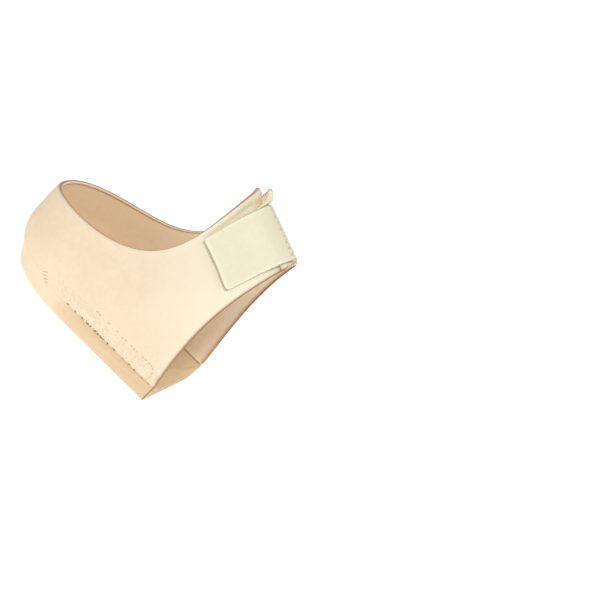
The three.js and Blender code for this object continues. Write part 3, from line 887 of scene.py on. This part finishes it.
def tab_tape(material):
    """The tab: s runs from its sewn end to its free end and t from its upper to its lower edge, between
    four corners on the form. Its free end is bowed and its free corners are cut to a circle, its sewn end
    is scalloped between the stitches, and its wall stands upright round a rounded upper edge."""
    s, t = np.meshgrid(crowded(TAB_COLUMNS, TAB_LENGTH), crowded(TAB_ROWS, TAB_FREE_WIDTH), indexing="ij")
    bow = 4 * TAB_END_BOW * t * (1 - t) + TAB_END_SKEW * t * (1 - t) * (1 - 2 * t)
    free_past = blend(TAB_UPPER["free_past"], TAB_LOWER["free_past"], t) - bow
    sewn_past = tab_sewn_past(t)
    from_corner = np.maximum(TAB_CORNER - TAB_FREE_WIDTH * np.minimum(t, 1 - t), 0)
    cut = TAB_CORNER - np.sqrt(TAB_CORNER**2 - from_corner**2)
    scallop = TAB_SCALLOP * np.abs(np.sin(TAB_SCALLOPS * np.pi * t))
    past = blend(sewn_past - scallop, free_past - cut / TAB_TURN_RADIUS, s)
    along = (past - sewn_past) / (free_past - sewn_past)
    share = tab_share(along, t)
    surface = form_point(np.pi + past, share)
    from_sewn, from_upper = line_length(surface, 0), line_length(surface, 1)
    from_free, from_lower = from_sewn[-1:] - from_sewn, from_upper[:, -1:] - from_upper
    nearest = np.minimum(np.minimum(from_sewn, from_free), np.minimum(from_upper, from_lower))

    under = tab_under(past)
    top = under + TAPE_THICK
    rim = top - TAB_TOP_ROUND
    outer = lifted_point(np.pi + past, share, blend(rim, top, edge_round(nearest, TAB_TOP_ROUND)))
    inner = lifted_point(np.pi + past, share, blend(rim, under, edge_round(nearest, TAB_WALL_ROUND)))
    points, faces = closed_sheet(outer, inner)
    flat = np.stack([both_sides(v, v) for v in (from_sewn, from_upper)], axis=-1)

    # Pale line inside the edges: partly the tape's paler edge, partly painted highlight
    pale_rim_highlight = bump_at(nearest - TAB_RIM_INSET, TAB_RIM_WIDTH) * smooth(from_upper, 0, TAB_RIM_CLEAR)
    # Painted shade on the wall at the free and lower edges, and under the tab
    free_edge_shade = WALL_SHADE * bump_at(from_free, WALL_SHADE_WIDTH)
    lower_shade_strength = blend(WALL_SHADE, WALL_SHADE_FADED, smooth(past, *WALL_SHADE_FADE))
    lower_edge_shade = lower_shade_strength * bump_at(from_lower, WALL_SHADE_WIDTH)
    marks = {
        "edge": both_sides(pale_rim_highlight, 0 * pale_rim_highlight),
        "wall_shade": both_sides(np.maximum(free_edge_shade, lower_edge_shade), bump_at(nearest, UNDER_SHADE_WIDTH)),
    }
    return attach(new_piece("tab_tape", points, [faces], material, flat, marks), "root")


# Threads

THREAD_SIDES = 6
THREAD_STEPS = np.array([0.0, 0.06, 0.2, 0.5, 0.8, 0.94, 1.0])
ASKEW = 0.31, 0.48, 0.82  # a direction that no thread follows
BOTH_SIDES = (-1, 1)
FIRST_SHARE, SHARE_LENGTH, SHARE_LIMITS = 0.45, 110.0, (0.2, 0.95)  # a first guess of the share from x


def thread_piece(name, paths, material, radius):
    """Short threads as one piece: a round tube along each path, drawn to a point at both ends. The paths
    are an array of threads, points and coordinates; the ring round a point is cosine and sine of two unit
    normals of the path."""
    count, steps = paths.shape[:2]
    tangent = np.gradient(paths, axis=1)
    aside = np.cross(tangent, ASKEW)
    aside = aside / np.linalg.norm(aside, axis=-1, keepdims=True)
    upward = np.cross(aside, tangent)
    upward = upward / np.linalg.norm(upward, axis=-1, keepdims=True)
    angle = np.linspace(0, 2 * np.pi, THREAD_SIDES, endpoint=False)[:, None]
    ring = np.cos(angle) * aside[:, 1:-1, None] + np.sin(angle) * upward[:, 1:-1, None]
    rings = paths[:, 1:-1, None] + radius * ring
    points = np.concatenate([rings.reshape(count, -1, 3), paths[:, :1], paths[:, -1:]], axis=1)

    own = np.arange((steps - 2) * THREAD_SIDES).reshape(steps - 2, THREAD_SIDES)
    own = np.concatenate([own, own[:, :1]], axis=1)
    first, last = own.max() + 1, own.max() + 2
    start = np.stack([own[0, 1:], np.full(THREAD_SIDES, first), own[0, :-1]], axis=-1)
    end = np.stack([own[-1, :-1], np.full(THREAD_SIDES, last), own[-1, 1:]], axis=-1)
    shift = np.arange(count)[:, None, None] * points.shape[1]
    faces = [(part[None] + shift).reshape(-1, part.shape[1]) for part in (grid_faces(own), start, end)]
    length = line_length(paths, 1)
    run = np.repeat(length[:, 1:-1], THREAD_SIDES, axis=1)
    turn = np.tile(angle[:, 0], (count, steps - 2))
    run = np.concatenate([run, length[:, :1], length[:, -1:]], axis=1)
    turn = np.concatenate([turn, np.zeros((count, 2))], axis=1)
    flat = np.stack([run.ravel(), turn.ravel()], axis=-1)
    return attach(new_piece(name, points.reshape(-1, 3), faces, material, flat), "root")


def side_place(x, z, side):
    """Angle and share of the form's point at x and z on the near (-1) or far (1) side, by Newton's method."""
    around, share = side * np.ones_like(x), np.clip(FIRST_SHARE + x / SHARE_LENGTH, *SHARE_LIMITS)
    step, rounds = 1e-4, 20
    for _ in range(rounds):
        point = form_point(around, share)[..., [0, 2]]
        miss = point - np.stack([x, z], axis=-1)
        by_angle = (form_point(around + step, share)[..., [0, 2]] - point) / step
        by_share = (form_point(around, share + step)[..., [0, 2]] - point) / step
        size = by_angle[..., 0] * by_share[..., 1] - by_angle[..., 1] * by_share[..., 0]
        around = around - (miss[..., 0] * by_share[..., 1] - miss[..., 1] * by_share[..., 0]) / size
        share = share - (miss[..., 1] * by_angle[..., 0] - miss[..., 0] * by_angle[..., 1]) / size
    return around, share


def on_sleeve(x, above, side, lift):
    """A point of the sleeve's face near the seam: x along the sole, above the seam, lifted off the cloth."""
    around, share = side_place(x, SEAM_Z + above, side)
    waves = SLACK_HEIGHT * slack(form_point(around, share)) * smooth(above, *SLACK_OFF_SEAM)
    return lifted_point(around, share, seam_relief(x, above) + waves + lift)


def sewn_paths(x, above, reach_x, reach_above, proud):
    """Stitches on both sides, centred at x and above, each reaching half its length both ways: they come up
    out of the cloth, stand proud in the middle and go down again, as a cosine. reach_above may have a row
    for each side."""
    u = THREAD_STEPS - 0.5
    along = x[:, None] + reach_x[:, None] * u
    lift = np.broadcast_to(proud * (2 * np.cos(np.pi * u) - 1), along.shape)
    paths = []
    for side, reach in zip(BOTH_SIDES, np.broadcast_to(reach_above, (len(BOTH_SIDES), len(x)))):
        paths.append(on_sleeve(along, above[:, None] + reach[:, None] * u, side, lift))
    return np.concatenate(paths)


# Stitches of the seam

SEED = 11
SEAM_STITCH_FROM, SEAM_STITCH_TO, SEAM_STITCHES = 7.5, 56.0, 13
SEAM_CROWDED, SEAM_CROWD = (19.0, 27.0), 5
DASH_SHIFT, DASH_ABOVE, DASH_SLANT = 0.8, (0.1, 0.6), (-0.3, 0.5)
DASH_REACH, DASH_MORE, CROWD_REACH, CROWD_WIDTH = 0.6, 0.7, 0.9, 9.0
OVER_SHIFT, OVER_ABOVE, OVER_REACH, OVER_RISE = 0.5, (0.3, 0.9), (0.5, 1.1), 1.2
ROW_FROM, ROW_STEP, ROW_KEPT, ROW_REACH, ROW_SHIFT = 14.0, 1.75, 0.6, 0.9, 0.2
TURN_X, TURN_RADIUS, TURN_STITCHES = 51.0, 4.1, 9
TURN_FROM, TURN_TO = -0.45, 0.5  # of half a turn
TACK_X, TACK_ABOVE, TACK_STITCHES, TACK_STEP = -10.2, 3.0, 5, 1.1
TACK_REACH, TACK_SHORTER, TACK_SLANT = 2.6, 0.12, 0.65


def seam_dashes(material):
    """Brown dashes of thread down in the seam, whose brown is painted shade of the stitch holes, crowded
    together and longer under the heel.
    """
    chance = np.random.default_rng(SEED)
    even = np.linspace(SEAM_STITCH_FROM, SEAM_STITCH_TO, SEAM_STITCHES)
    x = np.concatenate([even, np.linspace(*SEAM_CROWDED, SEAM_CROWD)])
    count = len(x)
    x = x + chance.uniform(-DASH_SHIFT, DASH_SHIFT, count)
    longer = CROWD_REACH * bump_at(x - np.mean(SEAM_CROWDED), CROWD_WIDTH)
    reach = DASH_REACH + longer + chance.uniform(0, DASH_MORE, count)
    above = chance.uniform(*DASH_ABOVE, count)
    slant = [chance.uniform(*DASH_SLANT, count) for _ in BOTH_SIDES]
    paths = sewn_paths(x, above, reach, slant, proud=0.2)
    return thread_piece("seam_dashes", paths, material, radius=0.25)


def seam_threads(material):
    """Pale slanted threads over the seam, between the dashes."""
    chance = np.random.default_rng(SEED + 1)
    count = 2 * SEAM_STITCHES
    x = np.linspace(SEAM_STITCH_FROM - 1, SEAM_STITCH_TO, count)
    x = x + chance.uniform(-OVER_SHIFT, OVER_SHIFT, count)
    above = chance.uniform(*OVER_ABOVE, count)
    reach = chance.uniform(*OVER_REACH, count)
    paths = sewn_paths(x, above, reach, OVER_RISE, proud=0.2)
    return thread_piece("seam_threads", paths, material, radius=0.2)


def upper_row(material):
    """The upper row of small stitches, and the rounded turn that brings it down to the seam in front."""
    chance = np.random.default_rng(SEED + 2)
    row_x = np.arange(ROW_FROM, TURN_X, ROW_STEP)
    row_x = row_x[chance.random(len(row_x)) < ROW_KEPT]
    turn = np.linspace(TURN_FROM, TURN_TO, TURN_STITCHES) * np.pi
    x = np.concatenate([row_x, TURN_X + TURN_RADIUS * np.cos(turn)])
    above = np.concatenate([SECOND_ROW + 0 * row_x, SECOND_ROW / 2 + TURN_RADIUS * np.sin(turn)])
    above = above + chance.uniform(-ROW_SHIFT, ROW_SHIFT, len(above))
    reach_x = ROW_REACH * np.concatenate([1 + 0 * row_x, -np.sin(turn)])
    reach_above = ROW_REACH * np.concatenate([0 * row_x, np.cos(turn)])
    paths = sewn_paths(x, above, reach_x, reach_above, proud=0.14)
    return thread_piece("upper_row", paths, material, radius=0.24)


def heel_tacks(material):
    """A small tack of plain parallel stitches at the back end of the seam, on each side: each is a step
    further along and lower than the one before, and a little shorter."""
    rank = np.arange(TACK_STITCHES)
    reach = TACK_REACH * (1 - TACK_SHORTER * rank)
    x, above = TACK_X + TACK_STEP * rank, TACK_ABOVE - TACK_STEP * rank
    paths = sewn_paths(x, above, reach, TACK_SLANT * reach, proud=0.12)
    return thread_piece("heel_tacks", paths, material, radius=0.18)


# Stitches of the tab and of the far wing's front edge

ZIGZAG_HALF = 0.42  # half the width of a V, as a share of a scallop
ZIGZAG_IN, ZIGZAG_SWING, ZIGZAG_POWER = 0.17, 0.2, 1.5  # in on the tab, the swing out, and its sharpness
ZIGZAG_PROUD, ZIGZAG_DROP, ZIGZAG_END_DROP = 0.12, 0.8, 0.3
KNOT_IN, KNOT_REACH, KNOT_CLEAR, KNOT_PROUD, KNOT_DROP = 0.09, 0.07, 0.02, 0.05, 0.8
LIP_FROM, LIP_TO, LIP_THREADS, LIP_SHARE, LIP_SLANT = -0.2, 0.14, 7, 0.972, 0.03
LIP_PROUD, LIP_DROP, LIP_END_DROP = 0.12, 1.4, 0.3


def tab_spot(off, t, lift):
    """A point at an angle off from the tab's sewn end, t down it and lifted off the form."""
    past, t, lift = np.broadcast_arrays(tab_sewn_past(t) + off, t, lift)
    return lifted_point(np.pi + past, tab_share(0.0, t), lift)


def tab_zigzag(material):
    """Pale zigzag thread at the sewn end: from the face over the edge and back, a V for each scallop."""
    middle = (np.arange(TAB_SCALLOPS)[:, None] + 0.5) / TAB_SCALLOPS
    u = THREAD_STEPS * 2 - 1
    t = middle + ZIGZAG_HALF / TAB_SCALLOPS * u
    off = ZIGZAG_IN - ZIGZAG_SWING * (1 - np.abs(u) ** ZIGZAG_POWER)
    over_edge = np.maximum(-off, 0) / (ZIGZAG_SWING - ZIGZAG_IN)
    lift = TAB_TOP + ZIGZAG_PROUD - ZIGZAG_DROP * over_edge - ZIGZAG_END_DROP * np.abs(u) ** 6
    return thread_piece("tab_zigzag", tab_spot(off, t, lift), material, radius=0.22)


def tab_knots(material):
    """Grey knots of the under thread at the notches between the scallops."""
    t = np.arange(TAB_SCALLOPS + 1)[:, None] / TAB_SCALLOPS
    t = np.clip(t, KNOT_CLEAR, 1 - KNOT_CLEAR)
    u = THREAD_STEPS - 0.5
    off = KNOT_IN - KNOT_REACH * u
    lift = TAB_TOP + KNOT_PROUD - KNOT_DROP * THREAD_STEPS**2
    return thread_piece("tab_knots", tab_spot(off, t, lift), material, radius=0.6)


def lip_threads(material):
    """Overlock threads round the far wing's front edge, below the tab's sewn end."""
    past = np.linspace(LIP_FROM, LIP_TO, LIP_THREADS)[:, None]
    u = THREAD_STEPS
    share = blend(LIP_SHARE, 1.0, u)
    lift = WALL + GAP + LIP_PROUD - LIP_DROP * u**4 - LIP_END_DROP * (1 - u) ** 6
    points = lifted_point(np.pi + past + LIP_SLANT * u, share + 0 * past, lift + 0 * past)
    return thread_piece("lip_threads", points, material, radius=0.24)


# The dressed part

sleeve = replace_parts(sleeve_cloth(sleeve_material()), "heel_sleeve")
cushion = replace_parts(sole_cushion(sole_material()), "sole_pad")
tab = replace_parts(tab_tape(tab_material()), "hook_tab")
pale_thread = thread_material("pale thread", colour(252, 240, 212), colour(236, 219, 186))
dull_thread = thread_material("dull thread", colour(234, 214, 178), colour(212, 190, 150))
# Thread whose brown is painted shade of the seam's stitch holes
hole_shade_thread = thread_material("hole shade thread", colour(176, 138, 98), colour(136, 102, 68))
grey_thread = thread_material("grey thread", colour(230, 221, 198), colour(208, 198, 172))
sleeve_stitches = [
    seam_threads(pale_thread),
    upper_row(dull_thread),
    heel_tacks(dull_thread),
    lip_threads(pale_thread),
    seam_dashes(hole_shade_thread),
]
tab_stitches = [tab_zigzag(pale_thread), tab_knots(grey_thread)]

# Camera, floor and light, in metres

VIEW_AROUND, VIEW_ABOVE, VIEW_ROLL = np.radians([8.43, 20.69, 41.73])
VIEW_TURN = (
    Matrix.Rotation(VIEW_AROUND, 3, "Z")
    @ Matrix.Rotation(np.pi / 2 - VIEW_ABOVE, 3, "X")
    @ Matrix.Rotation(VIEW_ROLL, 3, "Z")
)
VIEW_RIGHT, VIEW_UP, VIEW_BACK = VIEW_TURN.col
VIEW_DISTANCE = 4.0
FRAME_WIDTH = 0.261  # across the picture at the object
FRAME_RIGHT, FRAME_DOWN = 0.09635, 0.00618  # from the origin to the middle of the picture
FRAME_CENTRE = VIEW_RIGHT * FRAME_RIGHT - VIEW_UP * FRAME_DOWN
LIGHT_AIM = Vector((0.012, 0.0, 0.035))
FLOOR_Z, FLOOR_REACH = -0.2, 12.0


def add_camera():
    """A camera at the view's turn and distance, with the lens for a picture FRAME_WIDTH wide."""
    camera = bpy.data.cameras.new("camera")
    camera.lens = camera.sensor_width * VIEW_DISTANCE / FRAME_WIDTH
    camera.clip_end = 50
    holder = bpy.data.objects.new("camera", camera)
    bpy.context.scene.collection.objects.link(holder)
    place = FRAME_CENTRE + VIEW_BACK * VIEW_DISTANCE
    holder.matrix_world = Matrix.Translation(place) @ VIEW_TURN.to_4x4()
    bpy.context.scene.camera = holder


def add_floor():
    """A wide pale floor well below the part, which glows a little so that it stays white."""
    mesh = bpy.data.meshes.new("floor")
    ways = ((-1, -1), (1, -1), (1, 1), (-1, 1))
    mesh.from_pydata([(x * FLOOR_REACH, y * FLOOR_REACH, FLOOR_Z) for x, y in ways], [], [(0, 1, 2, 3)])
    material = bpy.data.materials.new("pale floor")
    material.use_nodes = True
    shader = material.node_tree.nodes["Principled BSDF"]
    shader.inputs["Base Color"].default_value = (0.9, 0.9, 0.9, 1)
    shader.inputs["Roughness"].default_value = 0.9
    shader.inputs["Emission Color"].default_value = (1, 1, 1, 1)
    shader.inputs["Emission Strength"].default_value = 0.62
    mesh.materials.append(material)
    floor = bpy.data.objects.new("floor", mesh)
    bpy.context.scene.collection.objects.link(floor)


def add_softbox(name, right, up, back, size, power):
    """A square soft light, placed to the right, up and towards the camera, and turned to the object."""
    light = bpy.data.lights.new(name, "AREA")
    light.size, light.energy = size, power
    holder = bpy.data.objects.new(name, light)
    bpy.context.scene.collection.objects.link(holder)
    away = VIEW_RIGHT * right + VIEW_UP * up + VIEW_BACK * back
    turn = away.to_track_quat("Z", "Y").to_matrix().to_4x4()
    holder.matrix_world = Matrix.Translation(LIGHT_AIM + away) @ turn


def add_world():
    """Even white light from all round."""
    world = bpy.data.worlds.new("soft white room")
    world.use_nodes = True
    background = world.node_tree.nodes["Background"]
    background.inputs["Color"].default_value = (1, 1, 1, 1)
    background.inputs["Strength"].default_value = 0.42
    bpy.context.scene.world = world


add_camera()
add_floor()
add_world()
add_softbox("key softbox", right=0.5, up=0.5, back=1.2, size=0.2, power=5.6)
add_softbox("fill softbox", right=-0.45, up=0.3, back=1.2, size=0.9, power=1.2)
add_softbox("side softbox", right=1.3, up=0.3, back=0.4, size=0.7, power=4.0)
bpy.context.scene.view_settings.view_transform = "Standard"
